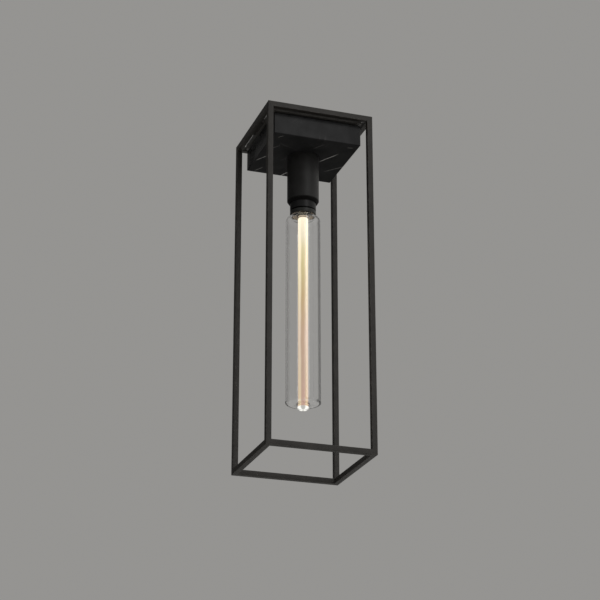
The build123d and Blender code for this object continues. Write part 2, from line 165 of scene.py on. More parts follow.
def paintedFinish(name, dark, light, rub, roughness, peelScale, peelDepth, shine):
    material, tree, surface, coords = startFinish(name, {"Specular IOR Level": shine})
    patches = noise(tree, coords, paintWork["patchScale"], detail=4.0)
    tone = twoTone(tree, patches, paintWork["patchStops"], dark, light)
    worn = addNode(tree, "ShaderNodeAttribute", attribute_name="edgeWear").outputs["Fac"]
    rubs = noise(tree, coords, paintWork["scuffScale"], detail=5.0)
    scuffs = span(tree, rubs, paintWork["scuffs"], (0.0, 1.0))
    rubbed = blendColours(tree, sums(tree, "MULTIPLY", worn, scuffs), tone, rub)
    feed(surface, "Base Color", rubbed)
    feed(surface, "Roughness", paintSheen(tree, coords, roughness))
    setBump(tree, surface, noise(tree, coords, peelScale), peelDepth, paintWork["peelHeight"])
    return material


# Bare or plated metal: turning lines across Z, soft stains
metalWork = {"stainScale": 140.0, "stainStops": (0.35, 0.62), "turned": (0.06, 0.06, 1.0),
             "lineHeight": 0.1 * mm}


def metalFinish(name, colour, stain, roughness, lineScale, lineDepth):
    material, tree, surface, coords = startFinish(name, {"Metallic": 1.0})
    clouds = noise(tree, coords, metalWork["stainScale"], detail=4.0)
    tone = twoTone(tree, clouds, metalWork["stainStops"], stain, colour)
    feed(surface, "Base Color", tone)
    lines = noise(tree, stretched(tree, coords, metalWork["turned"]), lineScale, detail=3.0)
    feed(surface, "Roughness", span(tree, lines, midNoise, roughness))
    setBump(tree, surface, lines, lineDepth, metalWork["lineHeight"])
    return material


# Moulded plastic, rubber, sleeves and boards: matt grain with a faint change of tone
mouldWork = {"cloudScale": 90.0, "grainHeight": 0.2 * mm}


def mouldedFinish(name, colour, shade, roughness, grainScale, grainDepth, shine=0.5):
    material, tree, surface, coords = startFinish(name, {"Specular IOR Level": shine})
    clouds = noise(tree, coords, mouldWork["cloudScale"], detail=3.0)
    feed(surface, "Base Color", twoTone(tree, clouds, midNoise, shade, colour))
    grain = noise(tree, coords, grainScale, detail=3.0)
    feed(surface, "Roughness", span(tree, grain, midNoise, roughness))
    setBump(tree, surface, grain, grainDepth, mouldWork["grainHeight"])
    return material


# Stone: near-black ground, fine pale veins that all lean one way, a faint web between them
marble = {
    "ground": (0.0085, 0.0085, 0.0089),
    "cloud": (0.0165, 0.0165, 0.0170),
    "cloudScale": 48.0,
    "cloudStops": (0.34, 0.72),
    "veinTone": (0.66, 0.65, 0.63),
    "wander": 5.0 * mm,  # how far a vein strays from its line
    "wanderScale": 34.0,
    "lean": 0.35,  # how far a vein's sheet leans as it rises through the block
    "fadeIn": (-0.12, 0.2),  # shares of a vein's length
    "fadeOut": (0.7, 1.12),
    "veins": [  # from x, y to x, y on the underside and width, in mm, then strength
        (26.0, 1.5, 43.0, -29.0, 1.5, 1.0),
        (44.0, 30.0, 68.0, 4.0, 1.2, 0.4),
        (-61.5, 27.0, -51.0, 8.0, 1.3, 0.8),
        (-14.0, 68.0, -6.0, 48.0, 1.5, 0.95),
        (-54.0, -16.0, -45.0, -29.0, 1.1, 0.22),
        (-55.0, -52.0, -49.0, -59.0, 1.2, 0.35),
        (50.0, -52.8, 58.0, -54.2, 1.3, 0.45),
        (-54.0, 60.0, -46.0, 46.0, 1.2, 0.5),
        (4.0, -34.0, 14.0, -52.0, 0.9, 0.2),
    ],
    "webTurn": (0.4, 0.2, 1.05),
    "webStretch": (1.0, 0.3, 0.8),
    "webScale": 42.0,
    "webWidth": 0.02,
    "webPatchScale": 26.0,
    "webPatches": (0.52, 0.68),
    "webStrength": 0.045,
    "shine": 0.1,
    "polish": (0.2, 0.28),
    "polishScale": 220.0,
    "honed": 0.5,  # how much rougher the underside is than the polished sides
    "honedLevels": (0.1 * mm, 0.7 * mm),  # above the underside
    "grainScale": 520.0,
    "grainDepth": 0.03,
    "grainHeight": 0.2 * mm,
    "underside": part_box("stone_block")[0].z,
}


def veinGroup():
    group = bpy.data.node_groups.new("stoneVein", "ShaderNodeTree")
    wanted = {"Place": "Vector", "Start": "Vector", "Along": "Vector", "Across": "Vector",
              "Length": "Float", "Width": "Float", "Strength": "Float"}
    for label, kind in wanted.items():
        group.interface.new_socket(label, in_out="INPUT", socket_type="NodeSocket" + kind)
    group.interface.new_socket("Vein", in_out="OUTPUT", socket_type="NodeSocketFloat")
    given = addNode(group, "NodeGroupInput").outputs
    offset = vectors(group, "SUBTRACT", given["Place"], given["Start"])
    along = vectors(group, "DOT_PRODUCT", offset, given["Along"])
    across = sums(group, "ABSOLUTE", vectors(group, "DOT_PRODUCT", offset, given["Across"]))
    share = sums(group, "DIVIDE", along, given["Length"])
    begins = span(group, share, marble["fadeIn"], (0.0, 1.0), True)
    ends = span(group, share, marble["fadeOut"], (1.0, 0.0), True)
    line = span(group, sums(group, "DIVIDE", across, given["Width"]), (0.0, 0.5), (1.0, 0.0), True)
    body = sums(group, "MULTIPLY", sums(group, "MULTIPLY", begins, ends), line)
    strong = sums(group, "MULTIPLY", body, given["Strength"])
    addNode(group, "NodeGroupOutput", {"Vein": strong})
    return group


def marbleFinish():
    material, tree, surface, coords = startFinish("darkMarble", {"Specular IOR Level": marble["shine"]})
    stray = noise(tree, coords, marble["wanderScale"], detail=4.0, output="Color")
    drift = vectors(tree, "SUBTRACT", stray, (0.5, 0.5, 0.5))
    shift = addNode(tree, "ShaderNodeVectorMath", {0: drift, "Scale": marble["wander"]}, operation="SCALE")
    spot = vectors(tree, "ADD", coords, shift.outputs["Vector"])
    turned = stretched(tree, spot, marble["webStretch"], marble["webTurn"])
    wires = {"Vector": turned, "Scale": marble["webScale"]}
    cells = addNode(tree, "ShaderNodeTexVoronoi", wires, feature="DISTANCE_TO_EDGE").outputs["Distance"]
    web = span(tree, cells, (0.0, marble["webWidth"]), (1.0, 0.0), True)
    clusters = noise(tree, coords, marble["webPatchScale"], detail=3.0)
    patchy = span(tree, clusters, marble["webPatches"], (0.0, marble["webStrength"]))
    pale = sums(tree, "MULTIPLY", web, patchy)
    group = veinGroup()
    for startX, startY, endX, endY, width, strength in marble["veins"]:
        start = Vector((startX * mm, startY * mm, marble["underside"]))
        run = Vector(((endX - startX) * mm, (endY - startY) * mm, 0))
        across = Vector((run.y, -run.x, marble["lean"] * run.length)).normalized()
        wires = {"Place": spot, "Start": start, "Along": run.normalized(), "Across": across}
        wires |= {"Length": run.length, "Width": width * mm, "Strength": strength}
        vein = addNode(tree, "ShaderNodeGroup", wires, node_tree=group).outputs[0]
        pale = sums(tree, "MAXIMUM", pale, vein)
    clouds = noise(tree, spot, marble["cloudScale"], detail=6.0)
    ground = twoTone(tree, clouds, marble["cloudStops"], marble["ground"], marble["cloud"])
    feed(surface, "Base Color", blendColours(tree, pale, ground, marble["veinTone"]))
    polish = span(tree, noise(tree, coords, marble["polishScale"], detail=4.0), midNoise, marble["polish"])
    levels = [marble["underside"] + rise for rise in marble["honedLevels"]]
    honed = span(tree, axes(tree, coords)["Z"], levels, (marble["honed"], 0.0))
    feed(surface, "Roughness", sums(tree, "ADD", polish, honed))
    grain = noise(tree, coords, marble["grainScale"], detail=4.0)
    setBump(tree, surface, grain, marble["grainDepth"], marble["grainHeight"])
    return material


# Glass: clear, a trace of grey in its thickness, faint drawn waviness
glass = {"ior": 1.46, "tint": (1.0, 1.0, 1.0, 1), "grey": (0.62, 0.6, 0.56, 1), "density": 8.0,
         "drawn": (1.0, 1.0, 0.12), "waveScale": 60.0, "waveDepth": 0.006, "waveHeight": 0.5 * mm}


def glassFinish():
    values = {"Base Color": glass["tint"], "Roughness": 0.0, "Transmission Weight": 1.0, "IOR": glass["ior"]}
    material, tree, surface, coords = startFinish("clearGlass", values)
    waves = noise(tree, stretched(tree, coords, glass["drawn"]), glass["waveScale"], detail=1.0)
    setBump(tree, surface, waves, glass["waveDepth"], glass["waveHeight"])
    wires = {"Color": glass["grey"], "Density": glass["density"]}
    volume = addNode(tree, "ShaderNodeVolumeAbsorption", wires).outputs["Volume"]
    feed(tree.nodes["Material Output"], "Volume", volume)
    return material


# Light guide: white-hot under the collar, amber further down, with streaks that run its whole length; the
# dark streaks and rosy side are painted refraction, placed by the side that faces the main view
guideGlow = {
    "top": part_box("glass_tube")[1].z - 15 * mm,
    "foot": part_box("light_guide")[0].z,
    "rod": (0.03, 0.026, 0.02, 1),
    "roughness": 0.12,
    "strength": 1.12,
    "faces": math.radians(-108.9),  # the side that faces the main view, where the painted dark streak sits
    "streaks": 4.0,  # painted dark streaks round the rod, standing in for refraction
    "swayScale": 26.0,
    "sway": 0.25,
    "drawn": (1.0, 1.0, 0.02),
    "fineScale": 420.0,
    "fineShare": 0.8,
    "streakEdge": (-0.75, 0.6),
    "bright": [  # share of the way down, colour
        (0.0, (1.0, 0.93, 0.71)),
        (0.1, (1.0, 0.88, 0.66)),
        (0.16, (0.96, 0.83, 0.57)),
        (0.24, (0.9, 0.77, 0.54)),
        (0.33, (0.8, 0.69, 0.47)),
        (0.42, (0.75, 0.64, 0.44)),
        (0.6, (0.67, 0.54, 0.42)),
        (0.8, (0.63, 0.51, 0.36)),
        (1.0, (0.61, 0.49, 0.31)),
    ],
    "dim": [
        (0.0, (0.97, 0.86, 0.64)),
        (0.1, (0.79, 0.7, 0.51)),
        (0.16, (0.66, 0.57, 0.34)),
        (0.24, (0.58, 0.49, 0.25)),
        (0.33, (0.52, 0.42, 0.22)),
        (0.42, (0.47, 0.34, 0.18)),
        (0.6, (0.46, 0.32, 0.22)),
        (0.8, (0.44, 0.31, 0.23)),
        (1.0, (0.46, 0.3, 0.24)),
    ],
    "rosy": (1.06, 0.97, 0.98),  # painted rosy tint on one side towards the foot, standing in for refracted colour
    "rosySide": (-0.2, 0.8),
    "tip": 4.2 * mm,
    "tipEdge": (-0.2 * mm, 0.4 * mm),
    "tipBright": (0.9, 0.89, 0.84),
    "tipDim": (0.42, 0.41, 0.38),
    "neckFoot": -139.1 * mm,
    "neckEdge": (-0.3 * mm, 0.3 * mm),
    "neck": (0.5, 0.41, 0.3),
    "groove": -137.8 * mm,
    "grooveEdge": (0.4 * mm, 0.65 * mm),
    # painted shade in the rod's groove
    "grooveShadeTone": (0.1, 0.075, 0.045),
}


def guideFinish():
    values = {"Base Color": guideGlow["rod"], "Roughness": guideGlow["roughness"]}
    values["Emission Strength"] = guideGlow["strength"]
    material, tree, surface, coords = startFinish("litGuide", values)
    parts = axes(tree, coords)
    depth = span(tree, parts["Z"], (guideGlow["top"], guideGlow["foot"]), (0.0, 1.0))
    angle = sums(tree, "SUBTRACT", sums(tree, "ARCTAN2", parts["Y"], parts["X"]), guideGlow["faces"])
    sway = sums(tree, "SUBTRACT", noise(tree, coords, guideGlow["swayScale"]), 0.5)
    swayed = sums(tree, "ADD", angle, sums(tree, "MULTIPLY", sway, guideGlow["sway"]))
    # painted refraction: a dark streak is set on the side that faces the main view, with fine streaks along
    # the rod
    wave = sums(tree, "COSINE", sums(tree, "MULTIPLY", swayed, guideGlow["streaks"]))
    drawn = stretched(tree, coords, guideGlow["drawn"])
    fine = sums(tree, "SUBTRACT", noise(tree, drawn, guideGlow["fineScale"]), 0.5)
    mixed = sums(tree, "MULTIPLY_ADD", fine, guideGlow["fineShare"], wave)
    streakAndPaintedRefraction = span(tree, mixed, guideGlow["streakEdge"], (0.0, 1.0), True)
    bright = ramp(tree, depth, guideGlow["bright"])
    dim = ramp(tree, depth, guideGlow["dim"])
    glow = blendColours(tree, streakAndPaintedRefraction, bright, dim)
    # painted refraction: a rosy tint on one side towards the foot
    side = span(tree, sums(tree, "SINE", angle), guideGlow["rosySide"], (0.0, 1.0))
    glow = blendColours(tree, sums(tree, "MULTIPLY", side, depth), glow, guideGlow["rosy"], "MULTIPLY")
    tipLevels = [guideGlow["foot"] + guideGlow["tip"] + rise for rise in guideGlow["tipEdge"]]
    isTip = span(tree, parts["Z"], tipLevels, (1.0, 0.0))
    tip = blendColours(tree, streakAndPaintedRefraction, guideGlow["tipBright"], guideGlow["tipDim"])
    glow = blendColours(tree, isTip, glow, tip)
    neckLevels = [guideGlow["neckFoot"] + rise for rise in guideGlow["neckEdge"]]
    isNeck = span(tree, parts["Z"], neckLevels, (0.0, 1.0))
    glow = blendColours(tree, isNeck, glow, guideGlow["neck"])
    # painted shade: the rod glows darker inside its groove
    fromGroove = sums(tree, "ABSOLUTE", sums(tree, "SUBTRACT", parts["Z"], guideGlow["groove"]))
    grooveShade = span(tree, fromGroove, guideGlow["grooveEdge"], (1.0, 0.0))
    glow = blendColours(tree, grooveShade, glow, guideGlow["grooveShadeTone"])
    feed(surface, "Emission Color", glow)
    return material


# Light source: yellow, with fine specks
phosphor = {"roughness": 0.35, "glow": (1.0, 0.8, 0.45, 1), "speckScale": 1400.0, "speckStops": (0.35, 0.65),
            "dark": (0.7, 0.46, 0.08), "light": (0.9, 0.68, 0.2)}


def phosphorFinish():
    values = {"Roughness": phosphor["roughness"], "Emission Color": phosphor["glow"]}
    values["Emission Strength"] = 1.0
    material, tree, surface, coords = startFinish("phosphor", values)
    specks = noise(tree, coords, phosphor["speckScale"])
    tone = twoTone(tree, specks, phosphor["speckStops"], phosphor["dark"], phosphor["light"])
    feed(surface, "Base Color", tone)
    return material


# Silicone: nearly clear, a little hazy
silicone = {"clear": 0.95, "ior": 1.2, "tint": (0.98, 0.97, 0.95, 1), "hazeScale": 300.0,
            "haze": (0.08, 0.14)}


def siliconeFinish():
    values = {"Transmission Weight": silicone["clear"], "IOR": silicone["ior"]}
    values["Base Color"] = silicone["tint"]
    material, tree, surface, coords = startFinish("clearSilicone", values)
    haze = span(tree, noise(tree, coords, silicone["hazeScale"]), midNoise, silicone["haze"])
    feed(surface, "Roughness", haze)
    return material


# Finish of each slot, and the plate's paint, lightened as painted light
paints = {  # dark, light and rubbed tone, roughness, scale and depth of the orange peel, shine
    "powderCoat": ((0.0156, 0.0135, 0.0112), (0.0222, 0.0195, 0.0165), (0.06, 0.056, 0.05),
                   (0.48, 0.6), 900.0, 0.12, 0.34),
    # painted light: the plate's black paint is made lighter so its edge strip under the top ring looks lit
    "litPlatePaint": ((0.042, 0.039, 0.036), (0.058, 0.054, 0.05), (0.1, 0.095, 0.09),
                    (0.45, 0.58), 900.0, 0.12, 0.4),
}
metals = {  # slot: name, tone, stain, roughness, scale and depth of the turning lines
    "zinc_steel": ("zincSteel", (0.62, 0.63, 0.64), (0.45, 0.46, 0.48), (0.26, 0.42), 1800.0, 0.08),
    "brass": ("brass", (0.72, 0.53, 0.24), (0.5, 0.34, 0.13), (0.2, 0.36), 2200.0, 0.06),
    "solder": ("solder", (0.6, 0.6, 0.6), (0.42, 0.42, 0.43), (0.38, 0.55), 700.0, 0.15),
    "nickel_cap": ("nickel", (0.66, 0.64, 0.6), (0.5, 0.48, 0.44), (0.14, 0.26), 2600.0, 0.05),
    "aluminium": ("turnedAluminium", (0.75, 0.75, 0.76), (0.6, 0.6, 0.62), (0.3, 0.45), 1600.0, 0.1),
}
moulded = {  # slot: name, tone, shade, roughness, scale and depth of the grain, shine if it isn't the usual
    "black_rubber": ("blackRubber", (0.05, 0.049, 0.047), (0.036, 0.035, 0.034), (0.7, 0.85),
                     900.0, 0.2, 0.25),
    "black_plastic": ("blackPlastic", (0.022, 0.019, 0.016), (0.014, 0.012, 0.01), (0.4, 0.55), 700.0, 0.08),
    "white_plastic": ("whitePlastic", (0.8, 0.8, 0.77), (0.72, 0.72, 0.68), (0.35, 0.5), 700.0, 0.08),
    "live_sleeve": ("brownSleeve", (0.16, 0.07, 0.035), (0.11, 0.045, 0.022), (0.3, 0.42), 600.0, 0.06),
    "neutral_sleeve": ("blueSleeve", (0.03, 0.12, 0.42), (0.02, 0.08, 0.3), (0.3, 0.42), 600.0, 0.06),
    "porcelain": ("porcelain", (0.82, 0.8, 0.75), (0.74, 0.71, 0.65), (0.12, 0.22), 260.0, 0.05),
    "black_insulator": ("blackGlaze", (0.015, 0.015, 0.016), (0.009, 0.009, 0.01), (0.08, 0.16), 400.0, 0.04),
    "green_board": ("greenBoard", (0.03, 0.2, 0.08), (0.02, 0.14, 0.055), (0.28, 0.4), 1200.0, 0.1),
    "white_board": ("whiteBoard", (0.82, 0.82, 0.8), (0.75, 0.75, 0.72), (0.3, 0.42), 1200.0, 0.06),
    "can_sleeve": ("canSleeve", (0.03, 0.03, 0.035), (0.018, 0.018, 0.022), (0.3, 0.4), 800.0, 0.05),
}
finishes = {
    "black_powder_coat": paintedFinish("powderCoat", *paints["powderCoat"]),
    "dark_marble": marbleFinish(),
    "clear_glass": glassFinish(),
    "lit_guide": guideFinish(),
    "phosphor": phosphorFinish(),
    "clear_silicone": siliconeFinish(),
}
finishes |= {slot: metalFinish(*values) for slot, values in metals.items()}
finishes |= {slot: mouldedFinish(*values) for slot, values in moulded.items()}
print("finishes:", len(finishes))


# Mesh helpers
def addObject(name, data):
    item = bpy.data.objects.new(name, data)
    scene.collection.objects.link(item)
    return item


def place(name, mesh, slotName, body, *replaced, finish=None):
    mesh.materials.clear()
    mesh.materials.append(finish or finishes[slotName])
    piece = addObject(name, mesh)
    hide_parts(*replaced)
    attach(piece, body)


def meshFrom(name, build):
    mesh = bpy.data.meshes.new(name)
    build.to_mesh(mesh)
    build.free()
    return mesh


def bake(maker):
    depsgraph = bpy.context.evaluated_depsgraph_get()
    mesh = bpy.data.meshes.new_from_object(maker.evaluated_get(depsgraph))
    bpy.data.objects.remove(maker)
    return mesh


def smooth(mesh, degrees=35):
    mesh.polygons.foreach_set("use_smooth", [True] * len(mesh.polygons))
    mesh.set_sharp_from_angle(angle=math.radians(degrees))


def roundCorners(corners, steps):
    points = []
    for index, (radius, level, rounding) in enumerate(corners):
        corner = Vector((radius, level))
        if not rounding:
            points.append(corner)
            continue
        back = (Vector(corners[index - 1][:2]) - corner).normalized()
        onward = (Vector(corners[(index + 1) % len(corners)][:2]) - corner).normalized()
        half = back.angle(onward) / 2
        reach = rounding / math.tan(half)
        middle = corner + (back + onward).normalized() * (rounding / math.sin(half))
        first = (corner + back * reach - middle).normalized()
        last = (corner + onward * reach - middle).normalized()
        for step in range(steps + 1):
            points.append(middle + first.slerp(last, step / steps) * rounding)
    return points


def lathe(name, corners, segments=128, steps=5):  # corners are radius, level and rounding in mm
    onAxis = 1e-7
    points = roundCorners([[size * mm for size in corner] for corner in corners], steps)
    turns = [2 * math.pi * index / segments for index in range(segments)]
    build = bmesh.new()
    rings = []
    for radius, level in points:
        if radius < onAxis:
            rings.append([build.verts.new((0, 0, level))] * segments)
            continue
        ring = [build.verts.new((radius * math.cos(turn), radius * math.sin(turn), level)) for turn in turns]
        rings.append(ring)
    for low, high in zip(rings, rings[1:] + rings[:1]):
        for index in range(segments):
            after = (index + 1) % segments
            quad = dict.fromkeys((low[index], low[after], high[after], high[index]))
            if len(quad) > 2:
                build.faces.new(list(quad))
    bmesh.ops.recalc_face_normals(build, faces=build.faces)
    mesh = meshFrom(name, build)
    smooth(mesh)
    return mesh


# Cage: all twelve bars as one welded frame with soft edges
cage = {"edge": 0.4 * mm, "steps": 3, "flat": 0.999, "sharp": 40}  # a less flat face counts as an edge


def cageMesh():
    low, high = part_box("post_front_left")
    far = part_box("post_rear_right")[1]
    bar = high.x - low.x
    planes = [(low[axis], low[axis] + bar, far[axis] - bar, far[axis]) for axis in range(3)]
    solid = {(i, j, k) for i in range(3) for j in range(3) for k in range(3) if [i, j, k].count(1) < 2}
    build = bmesh.new()
    corners = {}

    def corner(*index):
        if index not in corners:
            corners[index] = build.verts.new([planes[axis][index[axis]] for axis in range(3)])
        return corners[index]

    for cell in solid:
        for axis in range(3):
            for side in (0, 1):
                beside = list(cell)
                beside[axis] += 2 * side - 1
                if tuple(beside) in solid:
                    continue
                others = [other for other in range(3) if other != axis]
                loop = []
                for first, second in ((0, 0), (1, 0), (1, 1), (0, 1)):
                    index = list(cell)
                    index[axis] += side
                    index[others[0]] += first
                    index[others[1]] += second
                    loop.append(corner(*index))
                build.faces.new(loop)
    bmesh.ops.recalc_face_normals(build, faces=build.faces)
    maker = addObject("cageMaker", meshFrom("cageRaw", build))
    bevel = maker.modifiers.new("softEdges", "BEVEL")
    bevel.width = cage["edge"]
    bevel.segments = cage["steps"]
    bevel.limit_method = "ANGLE"
    mesh = bake(maker)
    wear = mesh.attributes.new("edgeWear", "FLOAT", "FACE")
    marks = [float(max(map(abs, face.normal)) < cage["flat"]) for face in mesh.polygons]
    wear.data.foreach_set("value", marks)
    smooth(mesh, cage["sharp"])
    return mesh


bars = [name for name in cadNodes if name.startswith(("post_", "top_bar_", "bottom_bar_"))]
place("cageFrame", cageMesh(), "black_powder_coat", "fixture", *bars)
print("cage:", len(bars), "bars in one frame")

# Cup: turned from one piece, flat roof, chamfered rim, sizes in mm
cup = {"radius": 22.85, "bore": 19.05, "top": -42.5, "roof": -45.0, "rim": -116.6, "chamfer": 3.25,
       "taper": 5.0, "boltHole": 3.4, "wireHole": (10.5, 2.0), "postHole": (8.7, 1.6), "drillDepth": 8,
       "drillSides": 32, "edge": 0.3, "lipEdge": 0.2, "roofCorner": 1.0, "dark": (0.011, 0.0107, 0.0104),
       "light": (0.017, 0.0166, 0.0162), "shine": 0.22, "roughness": (0.42, 0.52), "peelScale": 1100.0,
       # the lip tone, blend and roughness paint shade onto the rim's taper
       "peelDepth": 0.08, "lipShadeTone": (0.0125, 0.012, 0.012), "lipBlend": (-1.4, 0.8), "lipRough": 0.3}


def cupMesh():
    foot = cup["radius"] - cup["chamfer"]
    corners = [
        (cup["boltHole"], cup["top"], 0),
        (cup["radius"], cup["top"], cup["edge"]),
        (cup["radius"], cup["rim"] + cup["taper"], cup["edge"]),
        (foot, cup["rim"], cup["lipEdge"]),
        (cup["bore"], cup["rim"], cup["lipEdge"]),
        (cup["bore"], cup["roof"], cup["roofCorner"]),
        (cup["boltHole"], cup["roof"], 0),
    ]
    maker = addObject("cupMaker", lathe("cupRaw", corners))
    build = bmesh.new()
    level = (cup["top"] + cup["roof"]) / 2
    holes = [(side * cup["wireHole"][0], 0, cup["wireHole"][1]) for side in (-1, 1)]
    holes += [(0, side * cup["postHole"][0], cup["postHole"][1]) for side in (-1, 1)]
    for x, y, radius in holes:
        spot = Matrix.Translation((x * mm, y * mm, level * mm))
        bmesh.ops.create_cone(build, cap_ends=True, segments=cup["drillSides"], radius1=radius * mm,
                              radius2=radius * mm, depth=cup["drillDepth"] * mm, matrix=spot)
    drills = addObject("cupDrills", meshFrom("cupDrills", build))
    cut = maker.modifiers.new("roofHoles", "BOOLEAN")
    cut.operation = "DIFFERENCE"
    cut.solver = "EXACT"
    cut.object = drills
    mesh = bake(maker)
    bpy.data.objects.remove(drills)
    smooth(mesh)
    return mesh


def cupFinish():  # satin side, and the downward-facing lip painted near-black and metallic as painted shade
    material, tree, surface, coords = startFinish("cupPaint", {"Specular IOR Level": cup["shine"]})
    patches = noise(tree, coords, paintWork["patchScale"], detail=4.0)
    tone = twoTone(tree, patches, paintWork["patchStops"], cup["dark"], cup["light"])
    # painted shade: the taper under the rim is darkened and made metallic-black, as if in shadow
    lipLevels = [(cup["rim"] + cup["taper"] + rise) * mm for rise in cup["lipBlend"]]
    lipShade = span(tree, axes(tree, coords)["Z"], lipLevels, (1.0, 0.0))
    feed(surface, "Base Color", blendColours(tree, lipShade, tone, cup["lipShadeTone"]))
    feed(surface, "Metallic", lipShade)
    sheen = paintSheen(tree, coords, cup["roughness"])
    rough = sums(tree, "MULTIPLY_ADD", lipShade, cup["lipRough"], sheen)
    feed(surface, "Roughness", rough)
    peel = noise(tree, coords, cup["peelScale"])
    setBump(tree, surface, peel, cup["peelDepth"], paintWork["peelHeight"])
    return material


place("lampCup", cupMesh(), "black_powder_coat", "fixture", "lamp_cup", finish=cupFinish())
print("cup: turned, four holes in its roof")

# Collar: grooved sleeve with the cap's spigot on top and the glass neck's socket at its foot
collar = {  # plain sizes are in mm
    "radius": 18.7, "top": -110.1, "foot": -134.4, "chamfer": 0.6, "spigot": 11.3, "spigotTop": -103.6,
    "spigotBore": 9.8, "roof": -112.6, "cavity": 15.0, "ledge": -124.4, "neckBore": 17.05,
    "groove": (-126.8, -128.8, 0.8),  # upper edge, lower edge, depth
    "edge": 0.2, "grooveEdge": 0.15, "grooveCorner": 0.1,
    "shine": 0.17,
    "patchScale": 60.0,
    # painted shade and light: the sleeve is darker under the cup and paler below the groove, where the rod's
    # light would fall
    "shadedUpperTones": ((0.009, 0.009, 0.009), (0.013, 0.013, 0.013)),
    "litSkirtTones": ((0.017, 0.0175, 0.0165), (0.023, 0.0235, 0.022)),
    "skirtTop": (-127.9 * mm, -127.5 * mm),
    "grooveMiddle": -127.8 * mm,
    "grooveReach": (1.1 * mm, 1.3 * mm),
    "grooveFloor": (18.45 * mm, 18.6 * mm),
    # the groove tone is painted shade in the recess
    "grooveShadeTone": (0.004, 0.004, 0.004),
    "inside": (17.1 * mm, 17.3 * mm),
    "boreScale": 140.0,
    "boreStops": (0.35, 0.65),
    "boreTones": ((0.42, 0.4, 0.37), (0.5, 0.48, 0.45)),
    # the bore's glow is painted light from the rod
    "paintedBoreGlow": (0.12, 0.095, 0.07),
    "roughness": (0.3, 0.38),
    "turned": (0.1, 0.1, 1.0),
    "lineScale": 1500.0,
    "lineDepth": 0.05,
    "lineHeight": 0.2 * mm,
}


def collarMesh():
    radius, chamfer, edge = collar["radius"], collar["chamfer"], collar["edge"]
    high, low, depth = collar["groove"]
    corners = [
        (collar["spigot"], collar["spigotTop"], edge),
        (collar["spigot"], collar["top"], 0),
        (radius - chamfer, collar["top"], edge),
        (radius, collar["top"] - chamfer, edge),
        (radius, high, collar["grooveEdge"]),
        (radius - depth, high, collar["grooveCorner"]),
        (radius - depth, low, collar["grooveCorner"]),
        (radius, low, collar["grooveEdge"]),
        (radius, collar["foot"] + chamfer, edge),
        (radius - chamfer, collar["foot"], edge),
        (collar["neckBore"], collar["foot"], edge),
        (collar["neckBore"], collar["ledge"], 0),
        (collar["cavity"], collar["ledge"], 0),
        (collar["cavity"], collar["roof"], 0),
        (collar["spigotBore"], collar["roof"], 0),
        (collar["spigotBore"], collar["spigotTop"], edge),
    ]
    return lathe("lampCollar", corners, steps=3)


def collarFinish():  # satin black, with painted shade darker under the cup and painted light paler below the groove, a groove darkened as painted shade, and a pale bore with a painted glow from the rod
    values = {"Specular IOR Level": collar["shine"], "Emission Strength": 1.0}
    material, tree, surface, coords = startFinish("collarPaint", values)
    flat = vectors(tree, "MULTIPLY", coords, (1.0, 1.0, 0.0))
    radius = addNode(tree, "ShaderNodeVectorMath", {0: flat}, operation="LENGTH").outputs["Value"]
    height = axes(tree, coords)["Z"]
    patches = noise(tree, coords, collar["patchScale"], detail=4.0)
    upper = twoTone(tree, patches, paintWork["patchStops"], *collar["shadedUpperTones"])
    skirt = twoTone(tree, patches, paintWork["patchStops"], *collar["litSkirtTones"])
    # painted shade above the groove, painted light below it
    paint = blendColours(tree, span(tree, height, collar["skirtTop"], (1.0, 0.0)), upper, skirt)
    fromGroove = sums(tree, "ABSOLUTE", sums(tree, "SUBTRACT", height, collar["grooveMiddle"]))
    nearGroove = span(tree, fromGroove, collar["grooveReach"], (1.0, 0.0))
    # painted shade: the collar's groove is darkened to near-black and made metallic
    grooveShade = sums(tree, "MULTIPLY", nearGroove, span(tree, radius, collar["grooveFloor"], (1.0, 0.0)))
    paint = blendColours(tree, grooveShade, paint, collar["grooveShadeTone"])
    feed(surface, "Metallic", grooveShade)
    inside = span(tree, radius, collar["inside"], (1.0, 0.0))
    clouds = noise(tree, coords, collar["boreScale"], detail=4.0)
    bore = twoTone(tree, clouds, collar["boreStops"], *collar["boreTones"])
    feed(surface, "Base Color", blendColours(tree, inside, paint, bore))
    # painted light: the bore glows faintly, standing in for the rod's light on its pale bare metal
    lit = blendColours(tree, inside, (0.0, 0.0, 0.0), collar["paintedBoreGlow"])
    feed(surface, "Emission Color", lit)
    feed(surface, "Roughness", paintSheen(tree, coords, collar["roughness"]))
    lines = noise(tree, stretched(tree, coords, collar["turned"]), collar["lineScale"])
    setBump(tree, surface, lines, collar["lineDepth"], collar["lineHeight"])
    return material


finishes["black_collar"] = collarFinish()
place("lampCollar", collarMesh(), "black_collar", "lamp", "lamp_collar")

# Glass: neck, rounded shoulder, straight wall, foot with the rod's hole, sizes in mm
tube = {"radius": 24.75, "wall": 1.7, "sole": 0.9, "neck": 16.75, "neckTop": -125.5, "top": -137.0,
        "foot": -418.1, "hole": 8.2, "shoulder": 7.4, "fillet": 1.0, "footEdge": 2.2, "innerEdge": 1.4,
        "neckEdge": 0.6, "holeEdge": 0.3}


